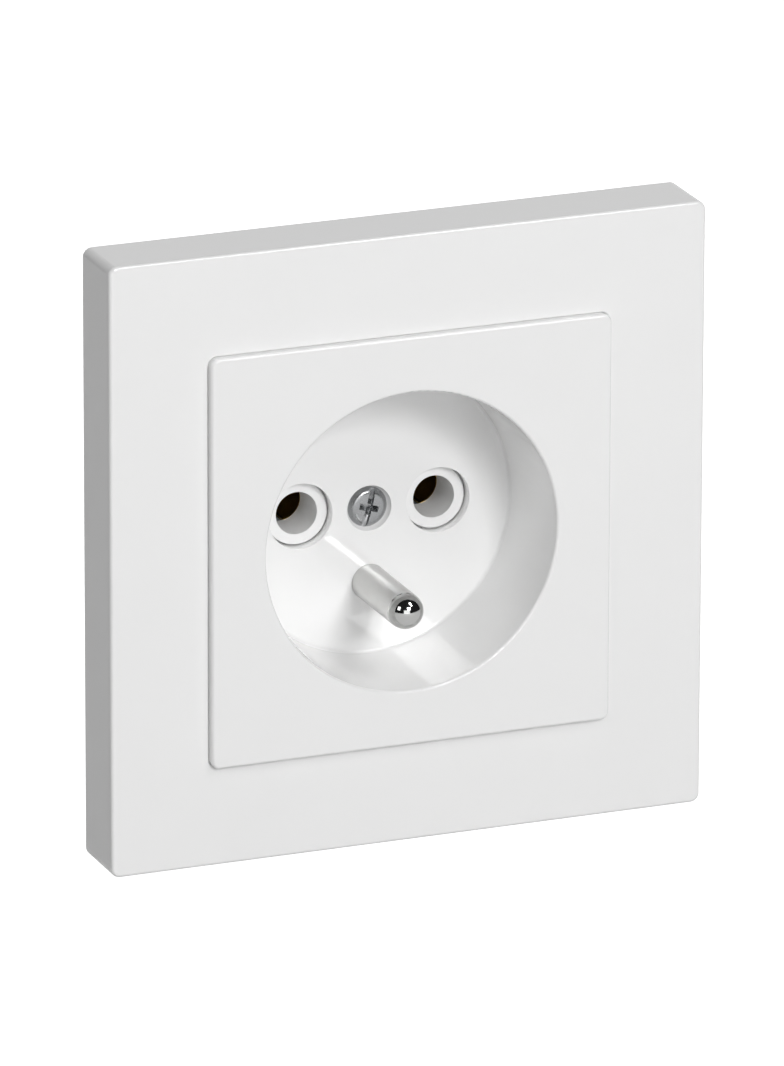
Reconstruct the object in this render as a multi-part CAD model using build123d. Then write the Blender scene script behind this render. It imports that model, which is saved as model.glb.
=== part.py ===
from build123d import *
import math
import os

# Flush single socket for one plug with two round pins and a hole for the fixed earth pin.
# Frame of the part: the wall plane is Y = 0 and the front looks towards -Y, +X is right, +Z is up.
# The origin lies midway between the two box screws. All sizes are in millimetres.

# Cover frame
FRAME_SIDE = 81.5
FRAME_DEPTH = 9.6
FRAME_FACE = 2.2
FRAME_SKIRT = 1.8
FRAME_CORNER_R = 1.2
FRAME_EDGE_R = 0.5
FRAME_LIP = 1.6
FRAME_LIP_DEPTH = 5.0
FRAME_RIB = 1.2
FRAME_RIB_PITCH = 21.0
FRAME_RIB_SHORT = 0.4
FRAME_WINDOW_EDGE_R = 0.3
FRAME_OPENING_CORNER_R = 0.6

# Centre plate with its dish
PLATE_SIDE = 54.8
PLATE_GAP = 0.08
PLATE_SEAT = 0.6
PLATE_LAP = 0.8
PLATE_NECK_GAP = 0.2
PLATE_NECK_CORNER_R = 0.5
PLATE_RAISE = 1.1
PLATE_FACE = 1.8
PLATE_SKIRT = 1.6
PLATE_CORNER_R = 1.1
PLATE_EDGE_R = 0.45
DISH_MOUTH_R = 20.0
DISH_FLOOR_R = 19.5
DISH_DEPTH = 15.0
DISH_WALL = 1.5
DISH_FLOOR = 1.8
DISH_RIM_R = 0.4
DISH_FLOOR_FILLET = 0.5
PLATE_RIB = 1.2
PLATE_RIB_DEPTH = 3.4
PEG_R = 1.6
PEG_OFFSET = 22.6
PEG_GAP = 0.2

# Plug pattern
PIN_PITCH = 19.0
PLUG_PIN_R = 2.4
ENTRY_CLEARANCE = 0.45
ENTRY_LEAD = 0.35
SHROUD_R = 4.2
SHROUD_SINK = 1.5
SHROUD_GAP = 0.2
ENTRY_LENGTH = 6.0
EARTH_PIN_R = 2.4
EARTH_PIN_DROP = 10.0
EARTH_PIN_REACH = 14.8
EARTH_NECK_R = 2.0
EARTH_NECK_SINK = 0.1
EARTH_HOLE_GAP = 0.05
EARTH_SEAT_GAP = 0.03

# Cover screw and its captive nut
COVER_SCREW_R = 1.5
COVER_HEAD_R = 2.7
COVER_HEAD_DOME = 0.75
COVER_HEAD_SINK = 0.75
COVER_RECESS_R = 3.05
COVER_SLOT_WIDTH = 0.85
COVER_CROSS_REACH = 1.5
COVER_CROSS_DEPTH = 1.3
COVER_SLOT_TURN = 14.0
COVER_SCREW_LENGTH = 13.6
SCREW_HOLE_GAP = 0.2
HEAD_GAP = 0.08
THREAD_GAP = 0.05
COVER_NUT_SIDE = 5.5
COVER_NUT_THICK = 2.4
NUT_POCKET_GAP = 0.1
NUT_POCKET_FROM_WALL = 3.0

# Support ring
RING_REACH = 0.68
RING_THICK = 1.0
RING_CORNER_CUT = 7.0
RING_HOLE_GAP = 0.2
BOX_SCREW_PITCH = 60.0
BOX_SCREW_HOLE_R = 1.7
BOX_SLOT_LENGTH = 9.0
CORNER_HOLE_R = 2.1
CORNER_HOLE_OFFSET = 27.5
ROW_NOTCH_WIDTH = 6.0
ROW_NOTCH_DEPTH = 2.2
STIFFENER_WIDTH = 24.0
STIFFENER_HEIGHT = 2.4

# Contact carrier
CUP_BORE_R = 21.8
CUP_WALL = 1.3
CARRIER_WALL = 2.0
CARRIER_FLOOR_GAP = 0.4
BLOCK_WIDTH = 38.0
BLOCK_HEIGHT = 34.0
BLOCK_CORNER_R = 2.0
BLOCK_WALL = 1.6
BLOCK_SPLIT = 18.0
CENTRE_BAY = 8.0
PARTITION = 1.2
GUIDE_R = 4.2
EAR_OFFSET = 18.4
EAR_R = 4.4
EAR_THICK = 3.0
RIVET_R = 1.6
RIVET_HEAD_R = 2.7
RIVET_HEAD = 0.8
RIVET_CROWN_R = 1.9
RIVET_GAP = 0.05

# Rear cover and housing screws
COVER_BACK = 30.0
COVER_BACK_WALL = 1.8
WIRE_HOLE_R = 2.0
WIRE_FUNNEL = 0.8
BOSS_R = 2.8
HOUSING_SCREW_R = 1.3
HOUSING_HEAD_R = 2.4
HOUSING_HEAD = 1.4
HOUSING_SCREW_LENGTH = 18.0
BOSS_TOP_INSET = 4.0
BOSS_LOW_INSET = 4.2

# Live contacts
SLEEVE_BORE_R = 2.45
SLEEVE_SHEET = 0.6
SLEEVE_LENGTH = 14.2
SLEEVE_SLIT = 0.8
SLEEVE_SLIT_MARGIN = 0.6
STRIP_SHEET = 0.8
STRIP_WIDTH = 4.8
STRIP_RISER_Y = 18.8
CLIP_SHEET = 0.5
CLIP_LENGTH = 5.0
CLIP_Y = 13.4
CLIP_MOUTH = 2.4

# Terminals
CLAMP_BORE = 5.2
CLAMP_SHEET = 1.2
CLAMP_THREAD_WALL = 2.0
CLAMP_FRONT_Y = 20.2
CLAMP_LENGTH = 6.6
CLAMP_WALL_GAP = 0.6
LIVE_CLAMP_HEIGHT = 6.5
EARTH_TONGUE_GAP = 0.3
TERMINAL_SCREW_R = 1.6
TERMINAL_HEAD_R = 2.6
TERMINAL_HEAD = 1.6
TERMINAL_SCREW_LENGTH = 6.4
TERMINAL_HEAD_SINK = 0.3
TERMINAL_HOLE_GAP = 0.4

# Earth pin foot and strap
EARTH_COLLAR_R = 3.4
EARTH_COLLAR = 1.0
EARTH_TAIL_R = 1.7
EARTH_HEAD_R = 2.9
EARTH_HEAD = 0.7
STRAP_SHEET = 0.9
STRAP_WIDTH = 6.0
STRAP_BELOW_PIN = 2.3

# Claws, hinged behind the ring and drawn forward by a long screw and a barrel nut
CLAW_SHEET = 1.2
CLAW_WIDTH = 14.0
CLAW_BLOCK_GAP = 0.8
CLAW_WALL_GAP = 0.7
CLAW_PIVOT_MARGIN = 0.6
CLAW_LEG = 8.0
CLAW_PAST_SCREW = 1.7
CLAW_FORK = 5.0
CLAW_TOOTH = 1.6
TRUNNION_R = 1.1
TRUNNION_LENGTH = 1.7
TRUNNION_GAP = 0.05
CHEEK_GAP = 0.25
CHEEK_THICK = 2.0
CHEEK_MARGIN = 1.3
CLAW_SCREW_GAP = 3.4
CLAW_SCREW_R = 1.5
CLAW_SCREW_END = 24.5
CLAW_HEAD_R = 2.7
CLAW_HEAD = 1.8
CLAW_HOLE_GAP = 0.2
BARREL_R = 2.2
BARREL_LENGTH = 11.0
BARREL_BORE_GAP = 0.1
BARREL_CLAW_GAP = 0.1

# Recesses in the screw heads
RECESS_WIDTH = 0.8
RECESS_SHARE = 0.72
RECESS_DEPTH_SHARE = 0.5

# Places worked out from the sizes above
FACE_Y = -FRAME_DEPTH
PLATE_Y = FACE_Y - PLATE_RAISE
FLOOR_Y = PLATE_Y + DISH_DEPTH
FLOOR_BACK_Y = FLOOR_Y + DISH_FLOOR
SHROUD_Y = FLOOR_Y + SHROUD_SINK
WALL_Y = FLOOR_BACK_Y + CARRIER_FLOOR_GAP
WALL_BACK_Y = WALL_Y + CARRIER_WALL
ENTRY_END_Y = SHROUD_Y + ENTRY_LENGTH
PIN_X = PIN_PITCH / 2
CUP_R = CUP_BORE_R + CUP_WALL
LIP_BACK_Y = FACE_Y + FRAME_LIP_DEPTH
LEDGE_Y = FACE_Y + PLATE_SEAT
OPENING_SIDE = PLATE_SIDE - 2 * PLATE_LAP
LIP_SIDE = OPENING_SIDE + 2 * FRAME_LIP
NECK_SIDE = OPENING_SIDE - 2 * PLATE_NECK_GAP
ENTRY_R = PLUG_PIN_R + ENTRY_CLEARANCE
SLEEVE_R = SLEEVE_BORE_R + SLEEVE_SHEET
CLAMP_MID_Y = CLAMP_FRONT_Y + CLAMP_LENGTH / 2
INNER_SIDE = FRAME_SIDE - 2 * FRAME_SKIRT
RING_SIDE = LIP_SIDE + RING_REACH * (INNER_SIDE - LIP_SIDE)
BOSS_X = BLOCK_WIDTH / 2 - BOSS_LOW_INSET
BOSS_TOP_Z = BLOCK_HEIGHT / 2 - BOSS_TOP_INSET
BOSS_LOW_Z = BOSS_LOW_INSET - BLOCK_HEIGHT / 2
HOUSING_SCREWS = [(0.0, BOSS_TOP_Z), (-BOSS_X, BOSS_LOW_Z), (BOSS_X, BOSS_LOW_Z)]
CLAMP_OUTER_Z = BLOCK_HEIGHT / 2 - BLOCK_WALL - CLAMP_WALL_GAP
LIVE_TONGUE_Z = CLAMP_OUTER_Z - LIVE_CLAMP_HEIGHT
EARTH_TONGUE_Z = EARTH_PIN_DROP - EARTH_HEAD_R - EARTH_TONGUE_GAP - STRIP_SHEET
CLAW_WEB_X = BLOCK_WIDTH / 2 + CLAW_BLOCK_GAP
CLAW_SCREW_OFFSET = CUP_R + CLAW_SCREW_GAP
CLAW_REACH = CLAW_SCREW_OFFSET + CLAW_PAST_SCREW
PIVOT_X = CLAW_WEB_X + CLAW_SHEET / 2
PIVOT_Y = WALL_BACK_Y + CLAW_WALL_GAP + CLAW_PIVOT_MARGIN
FORK_BACK_Y = PIVOT_Y + CLAW_LEG
BARREL_Y = FORK_BACK_Y + BARREL_CLAW_GAP + BARREL_R


def plate_at(sketch, front, back):
    """Gives a flat outline, drawn in X and Z, its thickness from front to back along Y."""
    return extrude(Plane.XZ.offset(-back) * sketch, back - front)


def rod(radius, front, back, x=0.0, z=0.0):
    """A round rod along Y."""
    return Pos(x, (front + back) / 2, z) * Rot(90, 0, 0) * Cylinder(radius, back - front)


def upright(radius, low, high, x, y):
    """A round rod along Z."""
    return Pos(x, y, (low + high) / 2) * Cylinder(radius, high - low)


def block(x0, x1, y0, y1, z0, z1):
    """A plain block between two corners."""
    return Pos((x0 + x1) / 2, (y0 + y1) / 2, (z0 + z1) / 2) * Box(x1 - x0, y1 - y0, z1 - z0)


def turned(points, x=0.0, z=0.0):
    """A turned piece, from points of radius and Y, with its axis along Y."""
    profile = make_face(Polyline(*points, close=True))
    return Pos(x, 0, z) * revolve(profile, axis=Axis.Y)


def turned_with_dome(points, dome_r, x=0.0, z=0.0):
    """A turned piece whose front end is a dome, from its top on the axis to the first point."""
    rim_r, rim_y = points[0]
    rise = dome_r - math.sqrt(dome_r ** 2 - rim_r ** 2)
    top = (0, rim_y - rise)
    angle = math.asin(min(1.0, rim_r / dome_r)) / 2
    middle = (dome_r * math.sin(angle), rim_y - rise + dome_r * (1 - math.cos(angle)))
    line = Polyline(*points) + ThreePointArc(points[0], middle, top) + Line(top, points[-1])
    return Pos(x, 0, z) * revolve(make_face(line), axis=Axis.Y)


def front_edges(solid):
    """The edges of the face that lies furthest forward."""
    return solid.faces().sort_by(Axis.Y)[0].edges()


def cross_recess(reach, front, depth, x=0.0, z=0.0):
    """The cross that a driver fits, cut from the front of a screw head."""
    half = RECESS_WIDTH / 2
    flat = block(x - reach, x + reach, front, front + depth, z - half, z + half)
    tall = block(x - half, x + half, front, front + depth, z - reach, z + reach)
    return flat + tall


def cover_frame():
    """The square frame: a face with a ledge for the plate, a skirt to the wall, a lip and ribs."""
    outer = RectangleRounded(FRAME_SIDE, FRAME_SIDE, FRAME_CORNER_R)
    body = plate_at(outer, FACE_Y, 0)
    body = fillet(front_edges(body), FRAME_EDGE_R)
    window_side = PLATE_SIDE + 2 * PLATE_GAP
    window = RectangleRounded(window_side, window_side, PLATE_CORNER_R + PLATE_GAP)
    recess = plate_at(window, FACE_Y, LEDGE_Y)
    body -= recess
    rim = [edge for edge in front_edges(body) if abs(edge.center().X) + abs(edge.center().Z) < window_side]
    body = fillet(rim, FRAME_WINDOW_EDGE_R)
    opening = RectangleRounded(OPENING_SIDE, OPENING_SIDE, FRAME_OPENING_CORNER_R)
    body -= plate_at(opening, LEDGE_Y, 0)
    hollow = RectangleRounded(INNER_SIDE, INNER_SIDE, FRAME_CORNER_R - FRAME_EDGE_R)
    body -= plate_at(hollow, FACE_Y + FRAME_FACE, 0)
    lip = RectangleRounded(LIP_SIDE, LIP_SIDE, FRAME_OPENING_CORNER_R + FRAME_LIP) - opening
    body += plate_at(lip, FACE_Y + FRAME_FACE, LIP_BACK_Y)
    rib_front = FACE_Y + FRAME_FACE
    rib_back = LIP_BACK_Y - FRAME_RIB_SHORT
    half_rib = FRAME_RIB / 2
    near = LIP_SIDE / 2 - FRAME_LIP / 2
    far = INNER_SIDE / 2 + FRAME_SKIRT / 2
    for step in (-1, 0, 1):
        at = step * FRAME_RIB_PITCH
        for side in (-1, 1):
            low, high = sorted((side * near, side * far))
            body += block(low, high, rib_front, rib_back, at - half_rib, at + half_rib)
            body += block(at - half_rib, at + half_rib, rib_front, rib_back, low, high)
    return body


def dish_inner_r(y):
    """The radius of the dish at a depth, with the draft of its wall."""
    return DISH_MOUTH_R + (DISH_FLOOR_R - DISH_MOUTH_R) * (y - PLATE_Y) / DISH_DEPTH


def is_dish_rim(edge):
    """Whether a round edge is the one where the dish meets the plate's face."""
    return math.isclose(edge.radius, DISH_MOUTH_R) and math.isclose(edge.center().Y, PLATE_Y)


def centre_plate():
    """The raised plate, whose rim holds the frame, with the round dish, a neck, ribs and pegs."""
    face = RectangleRounded(PLATE_SIDE, PLATE_SIDE, PLATE_CORNER_R)
    body = plate_at(face, PLATE_Y, LEDGE_Y)
    body = fillet(front_edges(body), PLATE_EDGE_R)
    neck = RectangleRounded(NECK_SIDE, NECK_SIDE, PLATE_NECK_CORNER_R)
    body += plate_at(neck, LEDGE_Y, LIP_BACK_Y)
    hollow_side = NECK_SIDE - 2 * PLATE_SKIRT
    body -= plate_at(Rectangle(hollow_side, hollow_side), PLATE_Y + PLATE_FACE, LIP_BACK_Y)
    rib_front = PLATE_Y + PLATE_FACE
    half_rib = PLATE_RIB / 2
    reach = hollow_side / 2 + PLATE_SKIRT / 2
    for turn in (0, 90):
        rib = block(-reach, reach, rib_front, rib_front + PLATE_RIB_DEPTH, -half_rib, half_rib)
        body += Rot(0, turn, 0) * rib
    for x_side in (-1, 1):
        for z_side in (-1, 1):
            x = x_side * PEG_OFFSET
            z = z_side * PEG_OFFSET
            body += rod(PEG_R, rib_front, -RING_THICK - PEG_GAP, x, z)
    bowl = turned([
        (0, PLATE_Y + PLATE_FACE / 2),
        (dish_inner_r(PLATE_Y) + DISH_WALL, PLATE_Y + PLATE_FACE / 2),
        (dish_inner_r(FLOOR_Y) + DISH_WALL, FLOOR_Y),
        (dish_inner_r(FLOOR_Y) + DISH_WALL, FLOOR_BACK_Y),
        (0, FLOOR_BACK_Y),
    ])
    body += bowl
    space = turned([
        (0, PLATE_Y - 1),
        (DISH_MOUTH_R, PLATE_Y - 1),
        (DISH_MOUTH_R, PLATE_Y),
        (DISH_FLOOR_R, FLOOR_Y),
        (0, FLOOR_Y),
    ])
    floor_edge = space.edges().filter_by(GeomType.CIRCLE).sort_by(Axis.Y)[-1]
    body -= fillet(floor_edge, DISH_FLOOR_FILLET)
    rim = body.edges().filter_by(GeomType.CIRCLE)
    rim = [edge for edge in rim if is_dish_rim(edge)]
    body = fillet(rim, DISH_RIM_R)
    for side in (-1, 1):
        body -= rod(SHROUD_R + SHROUD_GAP, FLOOR_Y - 1, FLOOR_BACK_Y + 1, side * PIN_X, 0)
    body -= rod(EARTH_PIN_R + EARTH_HOLE_GAP, FLOOR_Y - 1, FLOOR_BACK_Y + 1, 0, -EARTH_PIN_DROP)
    shank_hole = COVER_SCREW_R + SCREW_HOLE_GAP
    seat_tip = FLOOR_Y + COVER_HEAD_SINK + COVER_HEAD_R + HEAD_GAP
    body -= turned([
        (0, FLOOR_Y - 1),
        (COVER_RECESS_R, FLOOR_Y - 1),
        (COVER_RECESS_R, seat_tip - COVER_RECESS_R),
        (shank_hole, seat_tip - shank_hole),
        (shank_hole, FLOOR_BACK_Y + 1),
        (0, FLOOR_BACK_Y + 1),
    ])
    return body


def cover_screw():
    """The screw in the middle of the dish: a raised countersunk head with a slot and a cross."""
    rise = COVER_HEAD_DOME
    dome_r = (COVER_HEAD_R ** 2 + rise ** 2) / (2 * rise)
    rim_y = FLOOR_Y + COVER_HEAD_SINK
    body = turned_with_dome([
        (COVER_HEAD_R, rim_y),
        (COVER_SCREW_R, rim_y + COVER_HEAD_R - COVER_SCREW_R),
        (COVER_SCREW_R, FLOOR_Y + COVER_SCREW_LENGTH),
        (0, FLOOR_Y + COVER_SCREW_LENGTH),
    ], dome_r)
    half = COVER_SLOT_WIDTH / 2
    top = rim_y - rise
    slot = block(-half, half, top, rim_y, -COVER_HEAD_R, COVER_HEAD_R)
    cross = cross_recess(COVER_CROSS_REACH, top, COVER_CROSS_DEPTH)
    return body - Rot(0, COVER_SLOT_TURN, 0) * (slot + cross)


def nut_pocket_y():
    """Where the pocket of the cover nut begins."""
    return WALL_BACK_Y + NUT_POCKET_FROM_WALL


def cover_nut():
    """The square nut that the cover screw turns into."""
    front = nut_pocket_y() + NUT_POCKET_GAP
    back = front + COVER_NUT_THICK
    half = COVER_NUT_SIDE / 2
    body = block(-half, half, front, back, -half, half)
    return body - rod(COVER_SCREW_R + THREAD_GAP, front, back)


def support_ring():
    """The steel ring behind the cover, with slots for the box screws."""
    outline = Rectangle(RING_SIDE, RING_SIDE)
    outline = chamfer(outline.vertices(), RING_CORNER_CUT)
    outline -= Circle(CUP_R + RING_HOLE_GAP)
    for side in (-1, 1):
        slot = SlotOverall(BOX_SLOT_LENGTH, 2 * BOX_SCREW_HOLE_R)
        outline -= Pos(0, side * BOX_SCREW_PITCH / 2) * Rot(0, 0, 90) * slot
        notch = Rectangle(ROW_NOTCH_DEPTH * 2, ROW_NOTCH_WIDTH)
        outline -= Pos(side * RING_SIDE / 2, 0) * notch
        outline -= Pos(side * CLAW_SCREW_OFFSET, 0) * Circle(CLAW_SCREW_R + CLAW_HOLE_GAP)
        for other in (-1, 1):
            corner = Pos(side * CORNER_HOLE_OFFSET, other * CORNER_HOLE_OFFSET)
            outline -= corner * Circle(CORNER_HOLE_R)
            ear = Pos(side * EAR_OFFSET, other * EAR_OFFSET)
            outline -= ear * Circle(RIVET_R + RIVET_GAP)
    body = plate_at(outline, -RING_THICK, 0)
    for side in (-1, 1):
        low, high = sorted((side * RING_SIDE / 2, side * (RING_SIDE / 2 - RING_THICK)))
        half = STIFFENER_WIDTH / 2
        front = -RING_THICK - STIFFENER_HEIGHT
        body += block(-half, half, front, -RING_THICK, low, high)
    return body


def ring_rivets():
    """Four rivets that hold the carrier's ears to the ring."""
    rivets = []
    front = -RING_THICK - RIVET_HEAD
    back = EAR_THICK + RIVET_HEAD
    for x_side in (-1, 1):
        for z_side in (-1, 1):
            rivets.append(turned([
                (0, front),
                (RIVET_CROWN_R, front),
                (RIVET_HEAD_R, -RING_THICK),
                (RIVET_R, -RING_THICK),
                (RIVET_R, EAR_THICK),
                (RIVET_HEAD_R, EAR_THICK),
                (RIVET_CROWN_R, back),
                (0, back),
            ], x_side * EAR_OFFSET, z_side * EAR_OFFSET))
    return rivets


def housing_outline():
    """The outline that the carrier's block and the rear cover share."""
    return RectangleRounded(BLOCK_WIDTH, BLOCK_HEIGHT, BLOCK_CORNER_R)


def partitions(front, back):
    """The two walls between the centre bay and the live chambers."""
    near = CENTRE_BAY / 2
    half = BLOCK_HEIGHT / 2 - BLOCK_WALL / 2
    walls = block(near, near + PARTITION, front, back, -half, half)
    return walls + mirror(walls, about=Plane.YZ)


def claw_cheeks():
    """The cheeks beside each claw, with the holes that its trunnions turn in."""
    inner = CLAW_WIDTH / 2 + CHEEK_GAP
    outer = inner + CHEEK_THICK
    far = PIVOT_X + TRUNNION_R + CHEEK_MARGIN
    back = PIVOT_Y + TRUNNION_R + CHEEK_MARGIN
    cheeks = None
    for side in (-1, 1):
        low, high = sorted((side * inner, side * outer))
        cheek = block(BLOCK_WIDTH / 2 - BLOCK_WALL / 2, far, WALL_BACK_Y - CARRIER_WALL / 2, back, low, high)
        cheek -= upright(TRUNNION_R + TRUNNION_GAP, low, high, PIVOT_X, PIVOT_Y)
        cheeks = cheek if cheeks is None else cheeks + cheek
    return cheeks


def ear_outline(x, z):
    """The outline of one ear: a round end joined straight to the cup."""
    turn = math.degrees(math.atan2(z, x))
    arm = Pos(x / 2, z / 2) * Rot(0, 0, turn) * Rectangle(math.hypot(x, z), 2 * EAR_R)
    return arm + Pos(x, z) * Circle(EAR_R)


def contact_carrier():
    """The front half of the insert: cup, entry tubes, chambers, ears and cheeks of the claws."""
    body = rod(CUP_R, -RING_THICK, WALL_BACK_Y)
    body -= rod(CUP_BORE_R, -RING_THICK, WALL_Y)
    body += plate_at(housing_outline(), WALL_BACK_Y - CARRIER_WALL / 2, BLOCK_SPLIT)
    inner_width = BLOCK_WIDTH - 2 * BLOCK_WALL
    inner_height = BLOCK_HEIGHT - 2 * BLOCK_WALL
    room = RectangleRounded(inner_width, inner_height, BLOCK_CORNER_R / 2)
    body -= plate_at(room, WALL_BACK_Y, BLOCK_SPLIT)
    body += partitions(WALL_BACK_Y, BLOCK_SPLIT)
    for x_side in (-1, 1):
        for z_side in (-1, 1):
            x = x_side * EAR_OFFSET
            z = z_side * EAR_OFFSET
            body += plate_at(ear_outline(x, z), 0, EAR_THICK) - rod(CUP_BORE_R, 0, EAR_THICK)
            body -= rod(RIVET_R + RIVET_GAP, 0, EAR_THICK, x, z)
    cheeks = claw_cheeks()
    body += cheeks
    body += mirror(cheeks, about=Plane.YZ)
    for side in (-1, 1):
        body += rod(SHROUD_R, SHROUD_Y, WALL_Y + CARRIER_WALL / 2, side * PIN_X, 0)
        body += rod(GUIDE_R, WALL_BACK_Y - CARRIER_WALL / 2, ENTRY_END_Y, side * PIN_X, 0)
        body -= turned([
            (0, SHROUD_Y),
            (ENTRY_R + ENTRY_LEAD, SHROUD_Y),
            (ENTRY_R, SHROUD_Y + ENTRY_LEAD),
            (ENTRY_R, ENTRY_END_Y),
            (0, ENTRY_END_Y),
        ], side * PIN_X)
    half_bay = CENTRE_BAY / 2 + PARTITION / 2
    pocket_back = nut_pocket_y() + COVER_NUT_THICK + 2 * NUT_POCKET_GAP
    body += block(-half_bay, half_bay, WALL_BACK_Y - CARRIER_WALL / 2, pocket_back, -half_bay, half_bay)
    pocket = COVER_NUT_SIDE / 2 + NUT_POCKET_GAP
    body -= block(-pocket, pocket, nut_pocket_y(), pocket_back, -pocket, pocket)
    body -= rod(COVER_SCREW_R + SCREW_HOLE_GAP, WALL_Y, pocket_back)
    body -= rod(EARTH_NECK_R + EARTH_SEAT_GAP, WALL_Y, WALL_BACK_Y, 0, -EARTH_PIN_DROP)
    for x, z in HOUSING_SCREWS:
        body += rod(BOSS_R, WALL_BACK_Y - CARRIER_WALL / 2, BLOCK_SPLIT, x, z)
        body -= rod(HOUSING_SCREW_R + THREAD_GAP, WALL_BACK_Y, BLOCK_SPLIT, x, z)
    return body


def rear_cover():
    """The rear half of the insert, with wire entries and openings for the terminal screws."""
    body = plate_at(housing_outline(), BLOCK_SPLIT, COVER_BACK)
    back_edges = body.faces().sort_by(Axis.Y)[-1].edges()
    body = chamfer(back_edges, BLOCK_WALL / 2)
    inner_width = BLOCK_WIDTH - 2 * BLOCK_WALL
    inner_height = BLOCK_HEIGHT - 2 * BLOCK_WALL
    inside_back = COVER_BACK - COVER_BACK_WALL
    room = RectangleRounded(inner_width, inner_height, BLOCK_CORNER_R / 2)
    body -= plate_at(room, BLOCK_SPLIT, inside_back)
    body += partitions(BLOCK_SPLIT, inside_back)
    for x, z in HOUSING_SCREWS:
        body += rod(BOSS_R, BLOCK_SPLIT, inside_back, x, z)
        body -= turned([
            (0, BLOCK_SPLIT),
            (HOUSING_SCREW_R + SCREW_HOLE_GAP, BLOCK_SPLIT),
            (HOUSING_SCREW_R + SCREW_HOLE_GAP, COVER_BACK - HOUSING_HEAD - HEAD_GAP),
            (HOUSING_HEAD_R + HEAD_GAP, COVER_BACK),
            (0, COVER_BACK),
        ], x, z)
    for x, z, up in terminals():
        body -= turned([
            (0, inside_back),
            (WIRE_HOLE_R, inside_back),
            (WIRE_HOLE_R, COVER_BACK - WIRE_FUNNEL),
            (WIRE_HOLE_R + WIRE_FUNNEL, COVER_BACK),
            (0, COVER_BACK),
        ], x, up * wire_height(z))
        outer = BLOCK_HEIGHT / 2
        low, high = sorted((up * outer, up * (outer - BLOCK_WALL)))
        body -= upright(TERMINAL_HEAD_R + TERMINAL_HOLE_GAP, low, high, x, CLAMP_MID_Y)
    return body


def terminals():
    """The place of each terminal: X, the height of its tongue, and which way it points."""
    return [(-PIN_X, LIVE_TONGUE_Z, 1), (PIN_X, LIVE_TONGUE_Z, 1), (0.0, EARTH_TONGUE_Z, -1)]


def wire_height(tongue_z):
    """The height of a wire's middle over its tongue."""
    return tongue_z + STRIP_SHEET + WIRE_HOLE_R - WIRE_FUNNEL / 2


def housing_screws():
    """Three screws that close the insert from behind."""
    screws = []
    for x, z in HOUSING_SCREWS:
        screw = turned([
            (0, COVER_BACK - HOUSING_SCREW_LENGTH),
            (HOUSING_SCREW_R, COVER_BACK - HOUSING_SCREW_LENGTH),
            (HOUSING_SCREW_R, COVER_BACK - HOUSING_HEAD),
            (HOUSING_HEAD_R, COVER_BACK),
            (0, COVER_BACK),
        ], x, z)
        depth = HOUSING_HEAD * RECESS_DEPTH_SHARE
        screws.append(screw - cross_recess(HOUSING_HEAD_R * RECESS_SHARE, COVER_BACK - depth, depth, x, z))
    return screws


def live_contact(side):
    """A slit brass sleeve for a plug pin, with the strip to its terminal."""
    x = side * PIN_X
    end = ENTRY_END_Y + SLEEVE_LENGTH
    half = STRIP_WIDTH / 2
    tongue_end = CLAMP_FRONT_Y + CLAMP_LENGTH
    riser_back = STRIP_RISER_Y + STRIP_SHEET
    body = rod(SLEEVE_R, ENTRY_END_Y, end, x)
    tongue_top = LIVE_TONGUE_Z + STRIP_SHEET
    body += block(x - half, x + half, STRIP_RISER_Y, riser_back, 0, tongue_top)
    body += block(x - half, x + half, STRIP_RISER_Y, tongue_end, LIVE_TONGUE_Z, tongue_top)
    body -= rod(SLEEVE_BORE_R, ENTRY_END_Y, end, x)
    half_slit = SLEEVE_SLIT / 2
    slit_end = STRIP_RISER_Y - SLEEVE_SLIT_MARGIN
    body -= block(x - half_slit, x + half_slit, ENTRY_END_Y, slit_end, -SLEEVE_R, SLEEVE_R)
    return body


def contact_spring(side):
    """A steel clip that presses the sleeve's two halves on the plug pin."""
    x = side * PIN_X
    bore = SLEEVE_R + THREAD_GAP
    body = rod(bore + CLIP_SHEET, CLIP_Y, CLIP_Y + CLIP_LENGTH, x)
    body -= rod(bore, CLIP_Y, CLIP_Y + CLIP_LENGTH, x)
    half = CLIP_MOUTH / 2
    return body - block(x - half, x + half, CLIP_Y, CLIP_Y + CLIP_LENGTH, 0, bore + CLIP_SHEET)


def terminal_clamp(x, tongue_z, up):
    """A brass cage round a tongue, tapped for its terminal screw."""
    half_bore = CLAMP_BORE / 2
    half = half_bore + CLAMP_SHEET
    back = CLAMP_FRONT_Y + CLAMP_LENGTH
    body = block(x - half, x + half, CLAMP_FRONT_Y, back, tongue_z - CLAMP_SHEET, CLAMP_OUTER_Z)
    roof = CLAMP_OUTER_Z - CLAMP_THREAD_WALL
    body -= block(x - half_bore, x + half_bore, CLAMP_FRONT_Y, back, tongue_z, roof)
    body -= upright(TERMINAL_SCREW_R + THREAD_GAP, roof, CLAMP_OUTER_Z, x, CLAMP_MID_Y)
    return body if up > 0 else mirror(body, about=Plane.XY)


def terminal_screws():
    """Three terminal screws, two reached from above and one from below."""
    screws = []
    top = BLOCK_HEIGHT / 2 - TERMINAL_HEAD_SINK
    neck = top - TERMINAL_HEAD
    half = RECESS_WIDTH / 2
    for x, _, up in terminals():
        screw = upright(TERMINAL_HEAD_R, neck, top, x, CLAMP_MID_Y)
        screw += upright(TERMINAL_SCREW_R, top - TERMINAL_SCREW_LENGTH, neck, x, CLAMP_MID_Y)
        slot_low = top - TERMINAL_HEAD * RECESS_DEPTH_SHARE
        slot_front = CLAMP_MID_Y - TERMINAL_HEAD_R
        slot_back = CLAMP_MID_Y + TERMINAL_HEAD_R
        screw -= block(x - half, x + half, slot_front, slot_back, slot_low, top)
        screws.append(screw if up > 0 else mirror(screw, about=Plane.XY))
    return screws


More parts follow.
